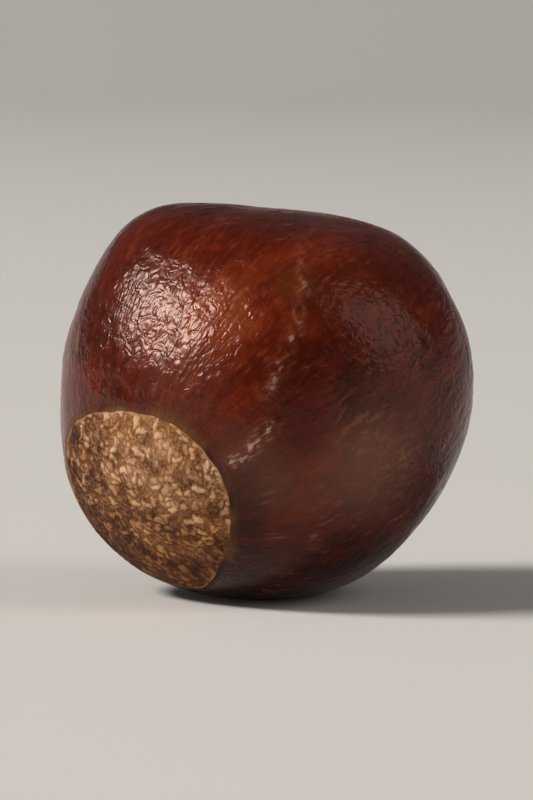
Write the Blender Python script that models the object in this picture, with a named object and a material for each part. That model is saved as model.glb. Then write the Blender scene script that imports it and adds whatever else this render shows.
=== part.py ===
"""A conker, the seed of a horse chestnut: one solid, a glossy brown coat with a pale cork scar on one side.

Metres, +Z up. The origin is the middle of the small flat spot that the conker rests on. The scar, where the
seed grew on its husk, faces the front left and a little down. A place on the conker is given by its turn from
the front (-Y) towards the right (+X) and its lift above the horizon, both in degrees, seen from the middle.
"""

import math

import bmesh
import bpy
import numpy as np

MM = 0.001
NAME = "conker"

# The body: a globe that swells at its corners, and the sides that the husk and the other seeds pressed flatter
GLOBE = 17.8 * MM
BLEND = 8
CORNERS = {  # turn, lift, swelling, and its reach in degrees
    "upper left": (-94, 39, 8.3 * MM, 18.8),
    "beside the scar": (-75, -27, 1.1 * MM, 20.0),
}
SIDES = {  # turn, lift, and the distance of the side's plane from the middle
    "top": (70, 87.5, 16.7 * MM),
    "upper left": (-92, 24, 17.7 * MM),
    "left": (-90, -5, 20.5 * MM),
    "right": (92, 0, 21.0 * MM),
    "lower right": (86, -35, 17.5 * MM),
    "front left": (-33, 30, 17.0 * MM),
    "front right": (34, -7, 17.7 * MM),
    "back": (180, 5, 17.0 * MM),
    "underside": (180, -87, 17.9 * MM),
    "scar": (-47, -29, 18.1 * MM),
}

# The flat spot: the middle of the globe stands this high over it
MIDDLE_UP = 16.1 * MM

# The scar: its place, and how far its edge reaches from its middle, as a mean, an oval and an egg-shaped part
SCAR_TURN = -47
SCAR_LIFT = -29
SCAR_REACH = math.radians(31.3)
SCAR_OVAL = math.radians(1.9)
SCAR_OVAL_TURN = math.radians(-57)
SCAR_EGG = math.radians(1.4)
SCAR_EGG_TURN = math.radians(52)

# The scar's edge: a thin raised rim, and a groove where the coat ends against it
RIM_HEIGHT = 0.15 * MM
RIM_WIDTH = 0.35 * MM
GROOVE_DEPTH = 0.12 * MM
GROOVE_OUT = 0.5 * MM

# The grainy cork of the scar, drawn coarser than life
GRAIN_HEIGHT = 0.08 * MM
GRAIN_LENGTH = 2.2 * MM
GRAIN_EDGE = 0.8 * MM

# The low ridge over the root tip: it runs up the front from the scar's edge, in the plane square to RIDGE_SQUARE
RIDGE_SQUARE = (-93.6, 19.7)
RIDGE_MIDDLE = (8, 27)
RIDGE_HALF = 42
RIDGE_FADE = 10
RIDGE_WIDTH = 1.8
RIDGE_HEIGHT = 0.13 * MM

# The uneven coat: broad low lumps
LUMP_HEIGHT = 0.10 * MM
LUMP_LENGTH = 13.0 * MM
WAVES = 24

# The mesh: its rings run round the scar's middle, and one of them lies on the scar's edge
SEGMENTS = 88
RINGS = 60
SCAR_RINGS = 15


def direction(turn, lift):
    """Unit vector to a place given by its turn and lift in degrees."""
    turn = math.radians(turn)
    lift = math.radians(lift)
    return np.array(
        [math.cos(lift) * math.sin(turn), -math.cos(lift) * math.cos(turn), math.sin(lift)]
    )


def swollen_globe(toward):
    """Radius of the globe before it is pressed: a bell of extra radius stands round each corner."""
    radius = np.full(len(toward), GLOBE)
    for turn, lift, swelling, reach in CORNERS.values():
        away = np.degrees(np.arccos(np.clip(toward @ direction(turn, lift), -1, 1)))
        radius += swelling * np.exp(-((away / reach) ** 2) / 2)
    return radius


def pressed_globe(toward):
    """Radius along each unit vector: the power mean of the globe and the planes of its pressed sides."""
    total = swollen_globe(toward) ** -BLEND
    for turn, lift, distance in SIDES.values():
        facing = np.maximum(0.0, toward @ direction(turn, lift))
        total += (facing / distance) ** BLEND
    return total ** (-1 / BLEND)


def ripple(points, length, seed):
    """Unevenness of about unit height: seeded plane waves of one length, in all directions, added up."""
    draw = np.random.default_rng(seed)
    ways = draw.normal(size=(WAVES, 3))
    ways /= np.linalg.norm(ways, axis=1, keepdims=True)
    phases = draw.uniform(0, 2 * math.pi, WAVES)
    turns = points @ ways.T * (2 * math.pi / length) + phases
    return np.cos(turns).sum(axis=1) * math.sqrt(2 / WAVES)


def ridge(toward):
    """Height of the ridge: a narrow bell across its plane, faded out at both ends."""
    off = np.degrees(np.arcsin(toward @ direction(*RIDGE_SQUARE)))
    along = np.degrees(np.arccos(np.clip(toward @ direction(*RIDGE_MIDDLE), -1, 1)))
    fade = np.clip((RIDGE_HALF - along) / RIDGE_FADE, 0, 1)
    return RIDGE_HEIGHT * fade * np.exp(-((off / RIDGE_WIDTH) ** 2))


def scar_edge(around):
    """Angle from the scar's middle to its edge, for each angle round it."""
    oval = SCAR_OVAL * np.cos(2 * (around - SCAR_OVAL_TURN))
    egg = SCAR_EGG * np.cos(3 * (around - SCAR_EGG_TURN))
    return SCAR_REACH + oval + egg


def scar_relief(points, beyond):
    """Height of the rim, the groove and the grain, for points that lie a given length beyond the scar's edge."""
    rim = RIM_HEIGHT * np.exp(-((beyond / RIM_WIDTH) ** 2))
    groove = GROOVE_DEPTH * np.exp(-(((beyond - GROOVE_OUT) / RIM_WIDTH) ** 2))
    grain = GRAIN_HEIGHT * ripple(points, GRAIN_LENGTH, seed=3) * np.clip(-beyond / GRAIN_EDGE, 0, 1)
    return rim - groove + grain


def scar_axes():
    """Three axes of the scar as rows: up along it, level along it, and straight out of it."""
    out = direction(SCAR_TURN, SCAR_LIFT)
    up = np.array([0.0, 0.0, 1.0])
    up -= (up @ out) * out
    up /= np.linalg.norm(up)
    return np.array([up, np.cross(out, up), out])


def spread_rings(ring, edge):
    """Angle of each ring from the scar's middle: even inside the edge, closer at it, then even to the far side."""
    rim_share = 1 - RIM_WIDTH / (GLOBE * SCAR_REACH)
    groove_share = GROOVE_OUT / (GLOBE * (math.pi - SCAR_REACH))
    inside = np.interp(ring, [0, SCAR_RINGS - 1, SCAR_RINGS], [0, rim_share, 1])
    outside = np.interp(
        ring,
        [SCAR_RINGS, SCAR_RINGS + 1, SCAR_RINGS + 2, RINGS],
        [0, groove_share, 2 * groove_share, 1],
    )
    return edge * inside + (math.pi - edge) * outside


def shape_seed(mesh):
    """Move every vertex of a unit sphere with its pole on the scar to its place on the conker."""
    start = np.array([vertex.co[:] for vertex in mesh.verts])
    around = np.arctan2(start[:, 1], start[:, 0])
    ring = np.round(np.arccos(np.clip(start[:, 2], -1, 1)) / math.pi * RINGS)
    edge = scar_edge(around)
    away = spread_rings(ring, edge)
    local = np.column_stack(
        [np.sin(away) * np.cos(around), np.sin(away) * np.sin(around), np.cos(away)]
    )
    toward = local @ scar_axes()
    radius = pressed_globe(toward)
    points = toward * radius[:, None]
    beyond = (away - edge) * radius
    radius += LUMP_HEIGHT * ripple(points, LUMP_LENGTH, seed=5)
    radius += ridge(toward) + scar_relief(points, beyond)
    points = toward * radius[:, None] + np.array([0.0, 0.0, MIDDLE_UP])
    for vertex, point in zip(mesh.verts, points):
        vertex.co = point
    return ring


def press_flat(mesh):
    """Cut the small flat spot that the conker rests on, and close it with one face."""
    geometry = mesh.verts[:] + mesh.edges[:] + mesh.faces[:]
    bmesh.ops.bisect_plane(
        mesh, geom=geometry, plane_co=(0, 0, 0), plane_no=(0, 0, 1), clear_inner=True
    )
    open_edges = [edge for edge in mesh.edges if edge.is_boundary]
    bmesh.ops.holes_fill(mesh, edges=open_edges)
    bmesh.ops.recalc_face_normals(mesh, faces=mesh.faces[:])


def make_material(name, colour, roughness):
    """Principled material of one colour, given as linear red, green and blue."""
    material = bpy.data.materials.new(name)
    material.use_nodes = True
    shader = material.node_tree.nodes["Principled BSDF"]
    shader.inputs["Base Color"].default_value = (*colour, 1.0)
    shader.inputs["Roughness"].default_value = roughness
    shader.inputs["Metallic"].default_value = 0.0
    material.diffuse_color = (*colour, 1.0)
    return material


def make_conker(collection):
    """The whole seed: a sphere shaped by the formulas above, with the scar's faces in the second material."""
    shell = bmesh.new()
    bmesh.ops.create_uvsphere(shell, u_segments=SEGMENTS, v_segments=RINGS, radius=1.0)
    shell.verts.ensure_lookup_table()
    ring = shape_seed(shell)
    for face in shell.faces:
        face.smooth = True
        face.material_index = int(max(ring[vertex.index] for vertex in face.verts) <= SCAR_RINGS)
    press_flat(shell)
    mesh = bpy.data.meshes.new(NAME)
    shell.to_mesh(mesh)
    shell.free()
    mesh.materials.append(make_material("glossy seed coat", (0.085, 0.018, 0.008), 0.28))
    mesh.materials.append(make_material("cork scar", (0.28, 0.155, 0.075), 0.85))
    conker = bpy.data.objects.new(NAME, mesh)
    collection.objects.link(conker)
    return conker


for thing in list(bpy.data.objects):
    bpy.data.objects.remove(thing)
parts = bpy.data.collections.new(NAME)
bpy.context.scene.collection.children.link(parts)
make_conker(parts)
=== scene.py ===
"""A conker with its finished surfaces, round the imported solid, on a pale floor under soft studio light.

Metres, +Z up, the front is -Y. A place on the conker is given by its turn from the front towards the right
(+X) and its lift above the horizon, both in degrees, seen from the middle of the globe.
"""

import math

import bpy
import numpy as np
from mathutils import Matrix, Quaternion, Vector


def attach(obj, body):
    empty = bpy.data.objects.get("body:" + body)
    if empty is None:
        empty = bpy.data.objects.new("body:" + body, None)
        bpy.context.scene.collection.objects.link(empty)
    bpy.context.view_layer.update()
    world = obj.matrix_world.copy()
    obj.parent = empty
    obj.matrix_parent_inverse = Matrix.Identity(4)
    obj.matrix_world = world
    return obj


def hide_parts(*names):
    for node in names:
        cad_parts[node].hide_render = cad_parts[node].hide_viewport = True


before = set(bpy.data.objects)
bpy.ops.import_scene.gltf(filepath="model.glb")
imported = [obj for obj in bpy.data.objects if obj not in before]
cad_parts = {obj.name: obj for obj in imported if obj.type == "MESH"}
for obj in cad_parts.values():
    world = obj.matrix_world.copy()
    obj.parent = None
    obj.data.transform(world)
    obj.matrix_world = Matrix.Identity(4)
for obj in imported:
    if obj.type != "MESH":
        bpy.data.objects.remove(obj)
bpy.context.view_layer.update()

# The seed's form
# The real seed swells in a spiny husk, often beside another one, which presses its sides flatter. It is one
# body: a globe that swells at its corners, pressed by planes, with a scar where it grew on the husk.

MM = 0.001
GLOBE = 17.8 * MM
BLEND = 8
CORNERS = {  # turn, lift, swelling, and its reach in degrees
    "upper left": (-94, 39, 8.3 * MM, 18.8),
    "beside the scar": (-75, -27, 1.1 * MM, 20.0),
}
SIDES = {  # turn, lift, and the distance of the side's plane from the middle
    "top": (70, 87.5, 16.7 * MM),
    "upper left": (-92, 24, 17.7 * MM),
    "left": (-90, -5, 20.5 * MM),
    "right": (92, 0, 21.0 * MM),
    "lower right": (86, -35, 17.5 * MM),
    "front left": (-33, 30, 17.0 * MM),
    "front right": (34, -7, 17.7 * MM),
    "back": (180, 5, 17.0 * MM),
    "underside": (180, -87, 17.9 * MM),
    "scar": (-47, -29, 18.1 * MM),
}
MIDDLE_UP = 16.1 * MM  # height of the globe's middle over the flat spot
LUMP_HEIGHT = 0.10 * MM
LUMP_LENGTH = 13.0 * MM
WAVES = 24


def direction(turn, lift):
    """Unit vector: cos(lift) of the way turned from the front towards the right, and sin(lift) up."""
    turn = math.radians(turn)
    lift = math.radians(lift)
    return np.array(
        [math.cos(lift) * math.sin(turn), -math.cos(lift) * math.cos(turn), math.sin(lift)]
    )


def pressed_globe(toward):
    """Radius along each unit vector d: (R(d)^-p + sum((d.n / h)^p))^(-1/p), for the sides' normals n and
    distances h, where R(d) is the globe's radius and a bell of extra radius round each corner."""
    radius = np.full(len(toward), GLOBE)
    for turn, lift, swelling, reach in CORNERS.values():
        away = np.degrees(np.arccos(np.clip(toward @ direction(turn, lift), -1, 1)))
        radius += swelling * np.exp(-((away / reach) ** 2) / 2)
    total = radius ** -BLEND
    for turn, lift, distance in SIDES.values():
        facing = np.maximum(0.0, toward @ direction(turn, lift))
        total += (facing / distance) ** BLEND
    return total ** (-1 / BLEND)


def ripple(points, length, seed):
    """Unevenness of about unit height: the sum of cos(2 pi k.x / length + phase) over seeded unit ways k."""
    draw = np.random.default_rng(seed)
    ways = draw.normal(size=(WAVES, 3))
    ways /= np.linalg.norm(ways, axis=1, keepdims=True)
    phases = draw.uniform(0, 2 * math.pi, WAVES)
    turns = points @ ways.T * (2 * math.pi / length) + phases
    return np.cos(turns).sum(axis=1) * math.sqrt(2 / WAVES)


def lumps(points):
    """Height of the seed's wide, low lumps, a ripple."""
    return LUMP_HEIGHT * ripple(points, LUMP_LENGTH, seed=5)


# The scar and its edge
# Dry, pale cork, torn from the husk when the seed fell: crumbs inside a thin rim, and a shallow groove where
# the hard coat ends. The crumbs are half a millimetre across in life, and drawn coarser so that they show.

SCAR_REACH = math.radians(31.3)
SCAR_OVAL = math.radians(1.9)
SCAR_OVAL_TURN = math.radians(-57)
SCAR_EGG = math.radians(1.4)
SCAR_EGG_TURN = math.radians(52)
SCAR_TEAR = math.radians(0.12)
TEAR_WAVES = np.arange(5, 41)  # waves in one turn round the edge
RIM_HEIGHT = 0.06 * MM
RIM_WIDTH = 0.12 * MM
RIM_UNEVEN = 0.3
RIM_UNEVEN_LENGTH = 2.6 * MM
GROOVE_DEPTH = 0.06 * MM
GROOVE_OUT = 0.35 * MM
GROOVE_WIDTH = 0.22 * MM
CRUMB_SIZE = 0.84 * MM
CRUMB_HEIGHT = 0.13 * MM
CRUMB_LOWEST = 0.4  # share of the full height
CRUMB_SUNK = 0.5  # share of the full height that the gaps lie below the scar's own surface
CRUMB_SLOPE = 1.8
CRUMB_DARKEST = 0.3
CRUMB_GAP_SLOPE = 2.7
CRUMB_BEND = 0.17 * MM
CRUMB_BEND_LENGTH = 1.1 * MM
CORK_EDGE = 0.15 * MM
CELLS_ASIDE = 1000.0  # so that every cell's number is above 0
FAR_AWAY = 9.0  # in crumbs, further than any centre that is tried
HASH_STEPS = np.array([374761393, 668265263, 974634777])  # large odd numbers, which mix the bits well
HASH_SEED_STEP = 1442695041
HASH_FIRST = 1274126177
HASH_SECOND = 2246822519
HASH_LIMIT = 0xFFFFFFFF


def scar_edge(around):
    """Angle from the scar's middle to its edge: a mean, an oval cos(2a) and an egg-shaped cos(3a) part, and a
    tear, the sum of seeded cos(k a + phase) over its numbers of waves k, each with a share 1 / sqrt(k)."""
    oval = SCAR_OVAL * np.cos(2 * (around - SCAR_OVAL_TURN))
    egg = SCAR_EGG * np.cos(3 * (around - SCAR_EGG_TURN))
    phases = np.random.default_rng(seed=8).uniform(0, 2 * math.pi, len(TEAR_WAVES))
    tear = (np.cos(around[:, None] * TEAR_WAVES + phases) / np.sqrt(TEAR_WAVES)).sum(axis=1)
    return SCAR_REACH + oval + egg + SCAR_TEAR * tear


def scar_axes():
    """Three axes of the scar as rows: up along it, level along it, and straight out of it."""
    out = direction(*SIDES["scar"][:2])
    up = np.array([0.0, 0.0, 1.0])
    up -= (up @ out) * out
    up /= np.linalg.norm(up)
    return np.array([up, np.cross(out, up), out])


def hashed(cells, seed):
    """Even random numbers from 0 to 1, one for each whole-number cell: its place multiplied and bit-mixed."""
    mixed = (cells @ HASH_STEPS + seed * HASH_SEED_STEP) & HASH_LIMIT
    mixed = ((mixed ^ (mixed >> 13)) * HASH_FIRST) & HASH_LIMIT
    mixed = ((mixed ^ (mixed >> 15)) * HASH_SECOND) & HASH_LIMIT
    return (mixed ^ (mixed >> 16)) / HASH_LIMIT


def crumbs(points, size, seed):
    """Packed crumbs, one centre strewn in each cell: how much nearer the nearest centre is than the second,
    which is 0 halfway between two crumbs, and a random number from 0 to 1 for each crumb."""
    place = points / size + CELLS_ASIDE
    cell = np.floor(place).astype(np.int64)
    nearest = np.full(len(points), FAR_AWAY)
    second = np.full(len(points), FAR_AWAY)
    chance = np.zeros(len(points))
    for step in np.ndindex(3, 3, 3):
        there = cell + np.array(step) - 1
        strewn = np.column_stack([hashed(there, seed + k) for k in range(3)])
        gap = np.linalg.norm(place - there - strewn, axis=1)
        chance = np.where(gap < nearest, hashed(there, seed + 3), chance)
        second = np.minimum(second, np.maximum(nearest, gap))
        nearest = np.minimum(nearest, gap)
    return second - nearest, chance


def scar_relief(points, beyond):
    """Height of the rim and groove, bells over the length beyond the scar's edge; height of the cork inside,
    bent crumbs of random heights; and the cork's tone, from 0 in the gaps to 1 on the palest crumbs."""
    uneven = 1 + RIM_UNEVEN * ripple(points, RIM_UNEVEN_LENGTH, seed=11)
    rim = RIM_HEIGHT * uneven * np.exp(-(((beyond + RIM_WIDTH) / RIM_WIDTH) ** 2))
    groove = GROOVE_DEPTH * np.exp(-(((beyond - GROOVE_OUT) / GROOVE_WIDTH) ** 2))
    bend = np.column_stack([ripple(points, CRUMB_BEND_LENGTH, seed=20 + k) for k in range(3)])
    lead, chance = crumbs(points + CRUMB_BEND * bend, CRUMB_SIZE, seed=31)
    inside = np.clip(-beyond / CORK_EDGE, 0, 1)
    tops = np.clip(CRUMB_SLOPE * lead, 0, 1) * (CRUMB_LOWEST + (1 - CRUMB_LOWEST) * chance)
    cork = inside * CRUMB_HEIGHT * (tops - CRUMB_SUNK)
    tone = np.clip(CRUMB_GAP_SLOPE * lead, 0, 1) * (CRUMB_DARKEST + (1 - CRUMB_DARKEST) * chance)
    return rim - groove, cork, tone


# The coat's relief
# The coat dries to a hard, leathery skin, creased all over; the creases are drawn wider apart than in life.
# A low ridge with a thin, broken crest runs up the front from the scar, over the root tip.

RIDGE_SQUARE = (-93.6, 19.7)  # turn and lift of the way square to the ridge's plane
RIDGE_MIDDLE = (8, 27)  # turn and lift of the place from which the run is measured
RIDGE_HEIGHT = 0.13 * MM
RIDGE_PATH = (  # run along the ridge from its middle in mm, angle off its plane in degrees
    (-7.6, 0.2), (-6.6, -0.5), (-5.3, -1.3), (-4.3, -2.1), (0.0, -2.1), (2.2, -1.3), (7.5, 4.0), (13.0, 2.0),
)
ROOT_PATH = ((-13.8, 1.9), (-12.3, -0.7), (-11.5, -2.2), (-10.1, -3.4), (-8.9, -5.0), (-8.1, -6.2))
TIP_PATH = ((-13.8, 1.9), (-12.3, -0.7), (-11.7, -1.8))

# A stroke has its path, its width in degrees, and its fade in mm at its lower and its upper end.
UPPER_FOLD = (RIDGE_PATH, 1.8, 1.5, 3.0)
LOWER_FOLD = (ROOT_PATH, 1.8, 1.0, 1.5)
UPPER_CREST = (RIDGE_PATH, 1.9, 0.8, 13.0)
LOWER_CREST = (ROOT_PATH, 3.3, 0.5, 1.2)
TIP_CREST = (TIP_PATH, 1.9, 0.5, 0.8)

TIP_SHARE = 0.3
CREST_HEIGHT = 0.05 * MM
CREST_WANDER = 0.5  # in degrees
CREST_WANDER_LENGTH = 3.7 * MM
BEAD_LENGTH = 1.0 * MM
BEAD_WIDTH = 0.7 * MM
BEAD_MEAN = 0.42
BEAD_UNEVEN = 0.26
BEAD_MOST = 0.7
STRAND_LENGTH = 1.9 * MM
STRAND_WIDTH = 0.6 * MM
STRAND_MEAN = 0.5
STRAND_UNEVEN = 0.12
STRAND_BEADED = 0.13
CREASE_SPACING = 1.15 * MM
CREASE_SHARPNESS = 0.55
CREASE_DEPTH = 0.027 * MM
CREASE_BEND = 0.25 * MM
CREASE_BEND_LENGTH = 2.5 * MM
CREASED_MEAN = 0.75
CREASED_UNEVEN = 0.4
CREASED_MOST = 1.4
CREASED_LENGTH = 6.0 * MM
PUCKER_LENGTH = 1.5 * MM
PUCKER_HEIGHT = 0.009 * MM
DIMPLE_LENGTH = 4.5 * MM
DIMPLE_HEIGHT = 0.02 * MM


def stroke(run, off, path, width, fade_in, fade_out):
    """Share of a stroke: a bell over the angle off its path, which is straight between points of run and
    angle, rising and falling evenly over a run in mm at its two ends."""
    runs, angles = np.array(path).T
    ends = np.clip((run - runs[0]) / fade_in, 0, 1) * np.clip((runs[-1] - run) / fade_out, 0, 1)
    return ends * np.exp(-(((off - np.interp(run, runs, angles)) / width) ** 2))


def ridge(toward, points):
    """Height of the ridge, the higher of two wide strokes, and share of its crest: a thin upper stroke in
    beads, where a ripple is high, a lower one of long strands, another ripple, and a tip beside the scar."""
    square, middle = direction(*RIDGE_SQUARE), direction(*RIDGE_MIDDLE)
    run = GLOBE / MM * np.arctan2(toward @ np.cross(square, middle), toward @ middle)
    off = np.degrees(np.arcsin(toward @ square)) + CREST_WANDER * ripple(points, CREST_WANDER_LENGTH, seed=41)
    across = GLOBE * np.radians(off)
    flat = np.zeros(len(run))
    uneven = ripple(np.column_stack([run * MM / BEAD_LENGTH, across / BEAD_WIDTH, flat]), 1.0, seed=43)
    beads = np.clip(BEAD_MEAN + BEAD_UNEVEN * uneven, 0, BEAD_MOST)
    beside = across - GLOBE * np.radians(np.interp(run, *np.array(ROOT_PATH).T))
    strands = ripple(np.column_stack([run * MM / STRAND_LENGTH, beside / STRAND_WIDTH, flat]), 1.0, seed=44)
    strands = np.clip(STRAND_MEAN + STRAND_UNEVEN * strands + STRAND_BEADED * uneven, 0, 1)
    fold = np.maximum(stroke(run, off, *UPPER_FOLD), stroke(run, off, *LOWER_FOLD))
    crest = stroke(run, off, *UPPER_CREST) * beads
    crest += stroke(run, off, *LOWER_CREST) * strands
    crest += TIP_SHARE * stroke(run, off, *TIP_CREST)
    return RIDGE_HEIGHT * fold, crest


def lines(points, spacing, sharpness, seed):
    """Wandering lines about a spacing apart, 1 on a line and 0 off it: exp(-(u / sharpness)^2) of a ripple
    u, because a ripple passes through zero twice in each of its lengths."""
    return np.exp(-((ripple(points, 2 * spacing, seed) / sharpness) ** 2))


def coat_relief(points):
    """Height of the coat's creases, small puckers and wide dimples: creases are lines cut in, deeper in some
    places, and the others are ripples."""
    uneven = ripple(points, CREASED_LENGTH, seed=51)
    places = np.clip(CREASED_MEAN + CREASED_UNEVEN * uneven, 0, CREASED_MOST)
    warp = np.column_stack([ripple(points, CREASE_BEND_LENGTH, seed=60 + k) for k in range(3)])
    bent = points + CREASE_BEND * warp
    cut = lines(bent, CREASE_SPACING, CREASE_SHARPNESS, seed=52)
    puckers = PUCKER_HEIGHT * ripple(bent, PUCKER_LENGTH, seed=53)
    return places * (puckers - CREASE_DEPTH * cut) + DIMPLE_HEIGHT * ripple(points, DIMPLE_LENGTH, seed=54)


# The seed's mesh
# One closed skin: rings round the scar's middle, closer together at the scar's edge, where one of them lies.
# The faces inside that ring are cork. Four values are kept at each point for the finishes.

SEGMENTS = 420
RINGS = 236
SCAR_RINGS = 58
EDGE_RINGS = 7
EDGE_WIDTH = 0.6 * MM
GROOVE_RINGS = 10
GROOVE_ZONE = 1.0 * MM
COAT_EDGE = 1.0 * MM  # over which the coat's relief rises from the groove


def spread_rings(ring, edge):
    """Angle of each ring from the scar's middle: even steps inside the edge, small even steps just inside and
    just outside it, and even steps on to the far side."""
    edge_share = 1 - EDGE_WIDTH / (GLOBE * SCAR_REACH)
    groove_share = GROOVE_ZONE / (GLOBE * (math.pi - SCAR_REACH))
    inside = np.interp(ring, [0, SCAR_RINGS - EDGE_RINGS, SCAR_RINGS], [0, edge_share, 1])
    outside = np.interp(ring, [SCAR_RINGS, SCAR_RINGS + GROOVE_RINGS, RINGS], [0, groove_share, 1])
    return edge * inside + (math.pi - edge) * outside


def seed_faces():
    """Quads between neighbouring rings and a fan of triangles at each pole, and the ring inside each face."""
    lap = np.arange(SEGMENTS)
    beside = (lap + 1) % SEGMENTS
    start = 1 + np.arange(RINGS - 2)[:, None] * SEGMENTS
    near, near_beside = start + lap, start + beside
    quads = np.stack([near, near + SEGMENTS, near_beside + SEGMENTS, near_beside], axis=2).reshape(-1, 4)
    far_pole = 1 + (RINGS - 1) * SEGMENTS
    last = far_pole - SEGMENTS
    near_fan = np.column_stack([np.zeros(SEGMENTS, int), 1 + lap, 1 + beside])
    far_fan = np.column_stack([np.full(SEGMENTS, far_pole), last + beside, last + lap])
    rings = np.repeat(np.arange(RINGS), SEGMENTS)
    return near_fan.tolist() + quads.tolist() + far_fan.tolist(), rings


ring = np.concatenate([[0], np.repeat(np.arange(1, RINGS), SEGMENTS), [RINGS]])
around = np.concatenate([[0.0], np.tile(np.arange(SEGMENTS) * (2 * math.pi / SEGMENTS), RINGS - 1), [0.0]])
edge = scar_edge(around)
away = spread_rings(ring, edge)
local = np.column_stack([np.sin(away) * np.cos(around), np.sin(away) * np.sin(around), np.cos(away)])
toward = local @ scar_axes()
radius = pressed_globe(toward)
points = toward * radius[:, None]
beyond = (away - edge) * radius
edge_relief, cork_height, cork_tone = scar_relief(points, beyond)
ridge_height, crest = ridge(toward, points)
on_coat = np.clip((beyond - GROOVE_OUT) / COAT_EDGE, 0, 1)
crest *= on_coat
radius += lumps(points) + ridge_height
radius += edge_relief + cork_height + on_coat * coat_relief(points) + CREST_HEIGHT * crest
points = toward * radius[:, None] + np.array([0.0, 0.0, MIDDLE_UP])
points[:, 2] = np.maximum(points[:, 2], 0.0)

faces, face_rings = seed_faces()
mesh = bpy.data.meshes.new("conker_skin")
mesh.from_pydata(points.tolist(), [], faces)
mesh.polygons.foreach_set("use_smooth", np.ones(len(faces), bool))
mesh.polygons.foreach_set("material_index", (face_rings < SCAR_RINGS).astype(np.int32))
kept = {"cork_tone": cork_tone, "beyond_edge": beyond / MM, "crest": crest}
for name, values in kept.items():
    mesh.attributes.new(name, "FLOAT", "POINT").data.foreach_set("value", values.astype(np.float32))
meridian = np.column_stack([np.cos(around), np.sin(around), away]).astype(np.float32)
mesh.attributes.new("meridian", "FLOAT_VECTOR", "POINT").data.foreach_set("vector", meridian.ravel())
mesh.update()
conker = bpy.data.objects.new("conker_skin", mesh)
bpy.context.scene.collection.objects.link(conker)


# The coat's finish
# A hard seed skin with natural wax on it. To the eye it is deep red-brown with orange streaks, and glossy,
# though the fine creases break and soften its highlights. Pale patches on it are painted reflections.

WAX_IOR = 1.36
WAX_GLINT = "#ffddd0"
NOISE_MIDDLE = 0.5
BENT = 0.6  # distortion of a noise that lies in bent folds or patches

# A pattern's sizes are in mm. A streaked one has its width, its length and its detail.
PATCH_SIZE = 11.0
SPOT_SIZE = 3.0
FLECK_SIZE = 0.8
FOLD_SIZE = 0.9
FOLD_HEIGHT = 0.12 * MM
SWAY_LENGTH = 5.0
SWAY = 1.6
STREAKS = (2.2, 12.0, 4)
GRAIN = (0.5, 1.7, 2)
SPECKS = (0.6, 1.2, 2)
CHIPS = (0.28, 0.6, 2)
WRINKLES = (0.55, 2.2, 2)
WRINKLE_HEIGHT = 0.06 * MM
STREAK_SHARE = 0.4
FLECK_SHARE = 0.2
GRAIN_SHARE = 0.18
CREST_COVER = 0.7

# A patch has its middle, its inner and outer distance, all in mm, and its share.
FAR_SIDE = ((10.9, 10.1, 24.3), 2.5, 10.0, 1.0)
# Painted light: the front made lighter, as if fill light fell there
PAINTED_LIGHT_PATCH = ((-2.0, -13.0, 26.0), 2.0, 13.0, 0.10)
DARK_PATCH = ((4.2, -15.9, 18.5), 2.0, 7.5, -0.08)
OLIVE_PATCH = ((2.5, -13.3, 26.7), 0.5, 2.8, 0.3)
# Painted reflection: pale patches that stand in for mirrored light on the front and the right
PAINTED_REFLECTION_PATCHES = (
    ((9.3, -13.2, 12.0), 1.5, 7.4, 0.52),
    ((8.2, -14.1, 15.2), 1.0, 6.0, 0.10),
    ((2.5, -15.9, 10.6), 1.0, 5.0, 0.14),
    ((-1.6, -16.7, 11.8), 0.8, 5.0, 0.34),
    ((-7.1, -14.6, 18.8), 1.5, 6.0, 0.16),
    ((12.3, -11.2, 17.6), 0.8, 4.0, 0.14),
)
# Where pale dashes and specks are painted as glints and mottle of the reflection on the right
REFLECTION_DASHED_PATCH = ((6.8, -13.3, 8.5), 1.0, 5.0, 1.0)
REFLECTION_SPECKLED_PATCH = ((7.8, -14.4, 15.4), 1.0, 4.5, 1.0)
REFLECTION_SPECKLED_LOWER = ((10.6, -11.6, 11.8), 1.0, 4.0, 1.0)

# A fade turns the first two numbers into the last two. One from a height or from the scar's edge is in mm.
# Painted shade: the coat darker towards the foot
PAINTED_SHADE_FOOT_FADE = (4.0, 19.0, -0.09, 0.0)
PAINTED_SHADE_LOWEST_FADE = (2.0, 8.5, -0.12, 0.0)
# Painted reflection: how unevenly its patches show
PAINTED_REFLECTION_FADE = (0.35, 0.65, 0.4, 1.0)
DASH_FADE = (0.57, 0.7, 0.0, 0.4)
DASHED_FADE = (0.52, 0.64, 0.0, 1.0)
SPECK_FADE = (0.53, 0.63, 0.0, 0.45)
BORDER_FADE = (0.2, 1.0, 0.6, 0.0)
BROKEN_FADE = (0.46, 0.56, 0.0, 1.0)
CHIP_FADE = (0.42, 0.58, 0.35, 1.45)
GLOSS_FADE = (0.3, 0.7, 0.19, 0.27)
MATT_EDGE_FADE = (0.1, 0.7, 0.4, 0.0)

# A tone's place in its colour ramp, and its colour
COAT_TONES = (
    (0.24, "#1c0704"), (0.36, "#350e06"), (0.45, "#4c1408"),
    (0.53, "#611c0a"), (0.63, "#7c2d10"), (0.75, "#9a4a20"),
)
# Pale tones of the crest, partly worn skin and partly a painted highlight
CREST_WEAR_AND_HIGHLIGHT_TONES = ((0.3, "#aa6249"), (0.9, "#c8a79c"))
OLIVE = "#5c3e16"
# The colour of the painted reflection
PAINTED_REFLECTION_COLOUR = "#846050"
# Pale marks, partly worn wax and partly painted glints
WEAR_AND_GLINT_MARKS = "#92593f"
BORDER = "#6e4a18"


# A Mix node's inputs by number, which are the share of the second, two values and two colours, and the
# number of its colour output.
SHARE, VALUE_A, VALUE_B, COLOUR_A, COLOUR_B = 0, 2, 3, 6, 7
MIXED_COLOUR = 2


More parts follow.
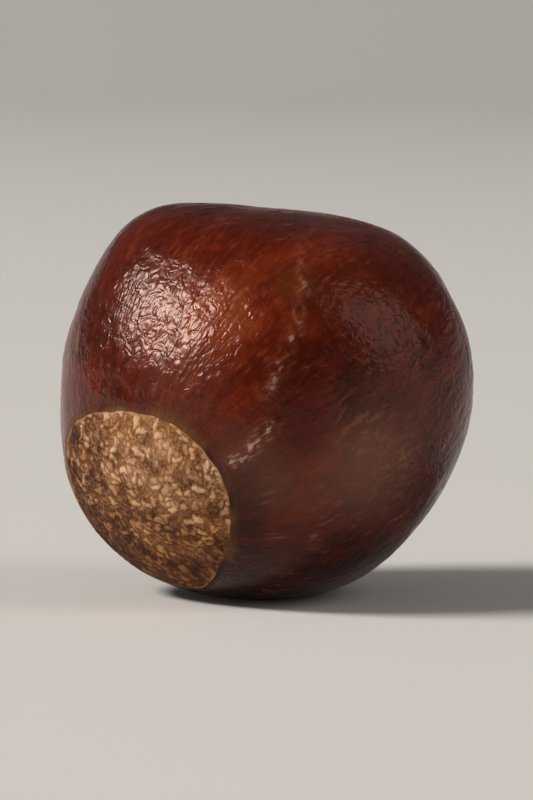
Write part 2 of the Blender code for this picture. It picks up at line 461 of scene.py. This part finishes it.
def linear(colour):
    """Linear red, green, blue and alpha of an sRGB hex colour: ((s + 0.055) / 1.055)^2.4 for each share s of
    the full 255, or s / 12.92 in the darkest."""
    shares = [int(colour[k : k + 2], 16) / 255 for k in (1, 3, 5)]
    return [s / 12.92 if s <= 0.04045 else ((s + 0.055) / 1.055) ** 2.4 for s in shares] + [1.0]


def add(tree, kind, inputs=(), stops=(), out=0, **settings):
    """Adds a node and gives one of its outputs. It sets the node's settings, its inputs, in order or by name
    or number, each a value or an output to link from, and the stops of its colour ramp, each a place and a
    colour."""
    made = tree.nodes.new(kind)
    for name, value in settings.items():
        setattr(made, name, value)
    for name, value in inputs.items() if isinstance(inputs, dict) else enumerate(inputs):
        if isinstance(value, bpy.types.NodeSocket):
            tree.links.new(value, made.inputs[name])
        else:
            made.inputs[name].default_value = value
    for k, (place, colour) in enumerate(stops):
        # A new ramp has two stops already
        stop = made.color_ramp.elements[k] if k < 2 else made.color_ramp.elements.new(place)
        stop.position = place
        stop.color = linear(colour)
    return made.outputs[out]


def finish(name):
    """A new material, its node tree and its shader."""
    made = bpy.data.materials.new(name)
    made.use_nodes = True
    return made, made.node_tree, made.node_tree.nodes["Principled BSDF"]


def place_in_mm(tree):
    """An output that gives the place on the conker in mm: its object coordinates divided by a millimetre."""
    place = add(tree, "ShaderNodeTexCoord", out="Object")
    return add(tree, "ShaderNodeVectorMath", {"Vector": place, "Scale": 1 / MM}, operation="SCALE")


coat, tree, shader = finish("waxy seed coat")
in_mm = place_in_mm(tree)
shader.inputs["IOR"].default_value = WAX_IOR
shader.inputs["Specular Tint"].default_value = linear(WAX_GLINT)


def near(place, inner, outer, share):
    """A share within the inner distance of a place, in mm, that falls smoothly to 0 at the outer distance."""
    away = add(tree, "ShaderNodeVectorMath", (in_mm, place), out="Value", operation="DISTANCE")
    fade = (away, inner, outer, share, 0.0)
    return add(tree, "ShaderNodeMapRange", fade, interpolation_type="SMOOTHSTEP")


meridian = add(tree, "ShaderNodeAttribute", out="Vector", attribute_name="meridian")
sway = add(
    tree, "ShaderNodeTexNoise", {"Vector": in_mm, "Scale": 1 / SWAY_LENGTH, "Detail": 2}, out="Color"
)
sway = add(tree, "ShaderNodeVectorMath", {"Vector": sway, "Scale": SWAY}, operation="SCALE")
fleck = add(tree, "ShaderNodeTexNoise", {"Vector": in_mm, "Scale": 1 / FLECK_SIZE, "Detail": 3})
far_side = near(*FAR_SIDE)


def streaked(width, length, detail):
    """Pattern of streaks that run away from the scar, about a width and a length across in mm. On the far
    side, where they would all meet, it gives way to flecks."""
    across, along = GLOBE / MM / width, GLOBE / MM / length
    place = add(tree, "ShaderNodeVectorMath", (meridian, (across, across, along)), operation="MULTIPLY")
    place = add(tree, "ShaderNodeVectorMath", (place, sway), operation="ADD")
    drawn = add(tree, "ShaderNodeTexNoise", {"Vector": place, "Scale": 1.0, "Detail": detail})
    return add(tree, "ShaderNodeMix", {SHARE: far_side, VALUE_A: drawn, VALUE_B: fleck})


# The skin's tone: patches, streaks, flecks and grain, with painted light on the front and painted shade
# towards the foot
patches = add(
    tree, "ShaderNodeTexNoise", {"Vector": in_mm, "Scale": 1 / PATCH_SIZE, "Detail": 2, "Distortion": BENT}
)
grain = streaked(*GRAIN)
tone = add(tree, "ShaderNodeMix", {SHARE: STREAK_SHARE, VALUE_A: patches, VALUE_B: streaked(*STREAKS)})
tone = add(tree, "ShaderNodeMix", {SHARE: FLECK_SHARE, VALUE_A: tone, VALUE_B: fleck})
tone = add(tree, "ShaderNodeMix", {SHARE: GRAIN_SHARE, VALUE_A: tone, VALUE_B: grain})
height = add(tree, "ShaderNodeSeparateXYZ", (in_mm,), out="Z")
shifts = [near(*PAINTED_LIGHT_PATCH), near(*DARK_PATCH)]
for fade in (PAINTED_SHADE_FOOT_FADE, PAINTED_SHADE_LOWEST_FADE):
    shifts.append(add(tree, "ShaderNodeMapRange", (height, *fade), interpolation_type="SMOOTHSTEP"))
for shift in shifts:
    tone = add(tree, "ShaderNodeMath", (tone, shift), operation="ADD")
skin = add(tree, "ShaderNodeValToRGB", (tone,), stops=COAT_TONES)

# Painted reflection: pale patches where a bright surround would be mirrored, uneven with the patches
painted_reflection = near(*PAINTED_REFLECTION_PATCHES[0])
for patch in PAINTED_REFLECTION_PATCHES[1:]:
    painted_reflection = add(tree, "ShaderNodeMath", (painted_reflection, near(*patch)), operation="ADD")
uneven = add(tree, "ShaderNodeMapRange", (patches, *PAINTED_REFLECTION_FADE))
painted_reflection = add(tree, "ShaderNodeMath", (painted_reflection, uneven), operation="MULTIPLY")

# Pale marks, partly worn wax, partly painted glints: dashes along the grain, in spots, and specks on the
# front
spots = add(tree, "ShaderNodeTexNoise", {"Vector": in_mm, "Scale": 1 / SPOT_SIZE, "Detail": 2})
dashes = add(tree, "ShaderNodeMapRange", (grain, *DASH_FADE))
dashed = add(tree, "ShaderNodeMapRange", (spots, *DASHED_FADE))
dashed = add(tree, "ShaderNodeMath", (dashed, near(*REFLECTION_DASHED_PATCH)), operation="MAXIMUM")
dashes = add(tree, "ShaderNodeMath", (dashes, dashed), operation="MULTIPLY")
specks = add(tree, "ShaderNodeMapRange", (streaked(*SPECKS), *SPECK_FADE))
speckled = add(tree, "ShaderNodeMath", (near(*REFLECTION_SPECKLED_PATCH), near(*REFLECTION_SPECKLED_LOWER)), operation="MAXIMUM")
specks = add(tree, "ShaderNodeMath", (specks, speckled), operation="MULTIPLY")
wear_and_glint_marks = add(tree, "ShaderNodeMath", (dashes, specks), operation="MAXIMUM")

# The broken olive border where the coat meets the scar
beside_scar = add(tree, "ShaderNodeAttribute", out="Fac", attribute_name="beyond_edge")
border = add(tree, "ShaderNodeMapRange", (beside_scar, *BORDER_FADE))
broken = add(tree, "ShaderNodeMapRange", (spots, *BROKEN_FADE))
border = add(tree, "ShaderNodeMath", (border, broken), operation="MULTIPLY")

# The crest, pale in small chips: partly dry worn skin, partly a painted highlight, most in the streak by the
# scar
crest = add(tree, "ShaderNodeAttribute", out="Fac", attribute_name="crest")
chips = add(tree, "ShaderNodeMapRange", (streaked(*CHIPS), *CHIP_FADE))
crest = add(tree, "ShaderNodeMath", (crest, chips), operation="MULTIPLY")
crest_wear_and_highlight = add(tree, "ShaderNodeValToRGB", (crest,), stops=CREST_WEAR_AND_HIGHLIGHT_TONES)
crest = add(tree, "ShaderNodeMath", (crest, CREST_COVER), operation="MULTIPLY", use_clamp=True)

# Among these layers the pale patches are painted reflection, the marks partly painted glints, and the crest
# partly a painted highlight
layers = (
    (near(*OLIVE_PATCH), linear(OLIVE)),
    (painted_reflection, linear(PAINTED_REFLECTION_COLOUR)),
    (wear_and_glint_marks, linear(WEAR_AND_GLINT_MARKS)),
    (border, linear(BORDER)),
    (crest, crest_wear_and_highlight),
)
for share, colour in layers:
    mix = {SHARE: share, COLOUR_A: skin, COLOUR_B: colour}
    skin = add(tree, "ShaderNodeMix", mix, out=MIXED_COLOUR, data_type="RGBA")
tree.links.new(skin, shader.inputs["Base Color"])

# The gloss, uneven with the flecks and matt beside the scar
gloss = add(tree, "ShaderNodeMapRange", (fleck, *GLOSS_FADE))
matt_edge = add(tree, "ShaderNodeMapRange", (beside_scar, *MATT_EDGE_FADE))
gloss = add(tree, "ShaderNodeMath", (gloss, matt_edge), operation="ADD")
tree.links.new(gloss, shader.inputs["Roughness"])

# Fine folds, a noise folded at its middle, and wrinkles away from the scar, both drawn coarser than life
folded = add(
    tree, "ShaderNodeTexNoise", {"Vector": in_mm, "Scale": 1 / FOLD_SIZE, "Detail": 1, "Distortion": BENT}
)
folded = add(tree, "ShaderNodeMath", (folded, NOISE_MIDDLE), operation="SUBTRACT")
folded = add(tree, "ShaderNodeMath", (folded,), operation="ABSOLUTE")
folds = add(tree, "ShaderNodeBump", {"Height": folded, "Strength": 1.0, "Distance": FOLD_HEIGHT})
wrinkles = add(
    tree,
    "ShaderNodeBump",
    {"Height": streaked(*WRINKLES), "Strength": 1.0, "Distance": WRINKLE_HEIGHT, "Normal": folds},
)
tree.links.new(wrinkles, shader.inputs["Normal"])
mesh.materials.append(coat)


# The scar's finish
# Dry cork, left as it tore: matt, pale tan on the crumbs and brown in the gaps, with a thin paler rim,
# stained olive towards the foot, with painted shade towards the foot and at the left and painted light at the
# top. Its grit is finer than the crumbs in the mesh, and roughens them.

CORK_IOR = 1.4
CORK_ROUGHNESS = 0.88
BLOTCH_SIZE = 2.0
STAIN_SIZE = 2.8
GRIT_SIZE = 0.22
GRIT_HEIGHT = 0.10 * MM
GRIT_DETAIL = 4
GRIT_ROUGHNESS = 0.65
GRIT_SHARE = 0.42
BLOTCH_SHARE = 0.22
CALM_TONE = 0.45
BLOTCH_FADE = (0.3, 0.7, 0.0, 1.0)
GRIT_FADE = (0.25, 0.75, 0.0, 1.0)
CALM_FADE = (1.5, 10.0, 0.4, 0.0)
# Painted shade towards the foot and at the left, and painted light at the top
SCAR_SHADE_FOOT_FADE = (1.5, 9.5, -0.26, 0.0)
SCAR_LIT_TOP_FADE = (10.0, 16.0, 0.0, 0.06)
SCAR_SHADE_LEFT_FADE = (-16.5, -11.0, -0.24, 0.0)
RIM_FADE = (-0.24, -0.08, 0.0, 1.0)
RIM_BROKEN_FADE = (0.35, 0.65, 0.1, 0.85)
STAINED_FOOT_FADE = (2.0, 11.0, 1.0, 0.0)
STAIN_FADE = (0.52, 0.66, 0.0, 0.8)
CORK_TONES = (
    (0.07, "#31180a"), (0.23, "#6b3f21"), (0.39, "#a5734b"), (0.53, "#d3a076"), (0.71, "#f2cba4"),
)
CORK_RIM = "#b98d62"
CORK_STAIN = "#f2e2b8"

cork, tree, shader = finish("dry scar cork")
in_mm = place_in_mm(tree)
shader.inputs["Roughness"].default_value = CORK_ROUGHNESS
shader.inputs["IOR"].default_value = CORK_IOR
crumb_tone = add(tree, "ShaderNodeAttribute", out="Fac", attribute_name="cork_tone")
blotches = add(tree, "ShaderNodeTexNoise", {"Vector": in_mm, "Scale": 1 / BLOTCH_SIZE, "Detail": 3})
blotches = add(tree, "ShaderNodeMapRange", (blotches, *BLOTCH_FADE))
grit = add(
    tree,
    "ShaderNodeTexNoise",
    {
        "Vector": in_mm,
        "Scale": 1 / GRIT_SIZE,
        "Detail": GRIT_DETAIL,
        "Roughness": GRIT_ROUGHNESS,
        "Distortion": BENT,
    },
)
grit_tone = add(tree, "ShaderNodeMapRange", (grit, *GRIT_FADE))
tone = add(tree, "ShaderNodeMix", {SHARE: GRIT_SHARE, VALUE_A: crumb_tone, VALUE_B: grit_tone})
tone = add(tree, "ShaderNodeMix", {SHARE: BLOTCH_SHARE, VALUE_A: tone, VALUE_B: blotches})

# Calmer towards the foot; painted shade makes it darker towards the foot and at the left, painted light paler
# at the top
height = add(tree, "ShaderNodeSeparateXYZ", (in_mm,), out="Z")
aside = add(tree, "ShaderNodeSeparateXYZ", (in_mm,), out="X")
calm = add(tree, "ShaderNodeMapRange", (height, *CALM_FADE))
tone = add(tree, "ShaderNodeMix", {SHARE: calm, VALUE_A: tone, VALUE_B: CALM_TONE})
for place, fade in ((height, SCAR_SHADE_FOOT_FADE), (height, SCAR_LIT_TOP_FADE), (aside, SCAR_SHADE_LEFT_FADE)):
    shift = add(tree, "ShaderNodeMapRange", (place, *fade))
    tone = add(tree, "ShaderNodeMath", (tone, shift), operation="ADD")
cork_colour = add(tree, "ShaderNodeValToRGB", (tone,), stops=CORK_TONES)

# The paler rim, whole in some places, and the stain
edge_near = add(tree, "ShaderNodeAttribute", out="Fac", attribute_name="beyond_edge")
on_rim = add(tree, "ShaderNodeMapRange", (edge_near, *RIM_FADE))
whole = add(tree, "ShaderNodeMapRange", (blotches, *RIM_BROKEN_FADE))
on_rim = add(tree, "ShaderNodeMath", (on_rim, whole), operation="MULTIPLY")
mix = {SHARE: on_rim, COLOUR_A: cork_colour, COLOUR_B: linear(CORK_RIM)}
worn = add(tree, "ShaderNodeMix", mix, out=MIXED_COLOUR, data_type="RGBA")
stained_foot = add(tree, "ShaderNodeMapRange", (height, *STAINED_FOOT_FADE))
stains = add(tree, "ShaderNodeTexNoise", {"Vector": in_mm, "Scale": 1 / STAIN_SIZE, "Detail": 2})
stains = add(tree, "ShaderNodeMapRange", (stains, *STAIN_FADE))
stains = add(tree, "ShaderNodeMath", (stained_foot, stains), operation="MAXIMUM")
mix = {SHARE: stains, COLOUR_A: worn, COLOUR_B: linear(CORK_STAIN)}
stained = add(tree, "ShaderNodeMix", mix, out=MIXED_COLOUR, data_type="RGBA", blend_type="MULTIPLY")
tree.links.new(stained, shader.inputs["Base Color"])
grit_bump = add(tree, "ShaderNodeBump", {"Height": grit, "Strength": 1.0, "Distance": GRIT_HEIGHT})
tree.links.new(grit_bump, shader.inputs["Normal"])
mesh.materials.append(cork)

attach(conker, "root")
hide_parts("conker")


# The floor
# A sheet of pale matt paper, as a photographer's studio has, flat where the conker lies and curving up all
# round it with no crease.

FLOOR_RINGS = (0.02, 0.2, 0.7)
FLOOR_FLAT = 1.3
FLOOR_CURVE = 1.6
FLOOR_TILT = math.radians(39)
FLOOR_STEPS = 32
FLOOR_SIDES = 96
PAPER = "#f6f4f0"
PAPER_ROUGHNESS = 0.9


def curved_sheet():
    """Points in rings, flat at first and then along an arc: flat + r sin(t) out and r (1 - cos(t)) up."""
    tilt = np.linspace(0, FLOOR_TILT, FLOOR_STEPS)
    reach = np.concatenate([FLOOR_RINGS, FLOOR_FLAT + FLOOR_CURVE * np.sin(tilt)])[:, None]
    up = np.concatenate([np.zeros(len(FLOOR_RINGS)), FLOOR_CURVE * (1 - np.cos(tilt))])
    turned = np.arange(FLOOR_SIDES) * (2 * math.pi / FLOOR_SIDES)
    up = np.repeat(up[:, None], FLOOR_SIDES, axis=1)
    return np.stack([reach * np.cos(turned), reach * np.sin(turned), up], axis=2)


def sheet_faces(rings):
    """Quads between neighbouring rings, and one face that closes the innermost."""
    start = np.arange(rings - 1)[:, None] * FLOOR_SIDES
    lap = np.arange(FLOOR_SIDES)
    corner = start + lap
    beside = start + (lap + 1) % FLOOR_SIDES
    quads = np.stack([corner, corner + FLOOR_SIDES, beside + FLOOR_SIDES, beside], axis=2)
    return quads.reshape(-1, 4).tolist() + [lap.tolist()]


sheet = curved_sheet()
floor_mesh = bpy.data.meshes.new("floor")
floor_mesh.from_pydata(sheet.reshape(-1, 3).tolist(), [], sheet_faces(len(sheet)))
floor_mesh.shade_smooth()
floor = bpy.data.objects.new("floor", floor_mesh)
bpy.context.scene.collection.objects.link(floor)
paper, tree, shader = finish("pale matt paper")
shader.inputs["Base Color"].default_value = linear(PAPER)
shader.inputs["Roughness"].default_value = PAPER_ROUGHNESS
floor_mesh.materials.append(paper)


# The light
# A large oval soft box high on the left gives the bright highlight and the shadow. A dim, tall panel on the
# right gives the faint crescent there, and a little grey light comes from all round.

STUDIO_GREY = "#f2f2f2"
STUDIO_STRENGTH = 0.10


def softbox(name, toward, distance, size, roll, power, colour):
    """An oval area light that shines at the conker's middle from a direction given by turn and lift, rolled
    by an angle that lifts its end on the conker's front."""
    lamp = bpy.data.lights.new(name, "AREA")
    lamp.shape = "ELLIPSE"
    lamp.size, lamp.size_y = size
    lamp.energy = power
    lamp.color = linear(colour)[:3]
    light = bpy.data.objects.new(name, lamp)
    light.visible_camera = False
    way = Vector(direction(*toward))
    light.location = Vector((0, 0, MIDDLE_UP)) + way * distance
    facing = way.to_track_quat("Z", "Y") @ Quaternion((0, 0, 1), math.radians(roll))
    light.rotation_euler = facing.to_euler()
    bpy.context.scene.collection.objects.link(light)


softbox("key", toward=(-81, 40.5), distance=3.0, size=(1.22, 0.6), roll=25, power=68.0, colour="#fffaf4")
softbox("side_panel", toward=(74, 30), distance=1.3, size=(0.66, 1.4), roll=24, power=3.5, colour="#fbefe8")
world = bpy.data.worlds.new("studio")
world.use_nodes = True
world.node_tree.nodes["Background"].inputs["Color"].default_value = linear(STUDIO_GREY)
world.node_tree.nodes["Background"].inputs["Strength"].default_value = STUDIO_STRENGTH
bpy.context.scene.world = world
bpy.context.scene.view_settings.view_transform = "Standard"


# The camera
# A long lens close to the conker, straight in front of it and a few degrees above the horizon. It is aimed at
# the middle of the globe, without a shift.

CAMERA_LIFT = 5
CAMERA_AWAY = 0.44
CAMERA_NEAREST = 0.01
LENS = 240
camera_data = bpy.data.cameras.new("camera")
camera_data.lens = LENS
camera_data.clip_start = CAMERA_NEAREST
camera = bpy.data.objects.new("camera", camera_data)
back = Vector(direction(0, CAMERA_LIFT))
camera.location = Vector((0, 0, MIDDLE_UP)) + back * CAMERA_AWAY
camera.rotation_euler = back.to_track_quat("Z", "Y").to_euler()
bpy.context.scene.collection.objects.link(camera)
bpy.context.scene.camera = camera
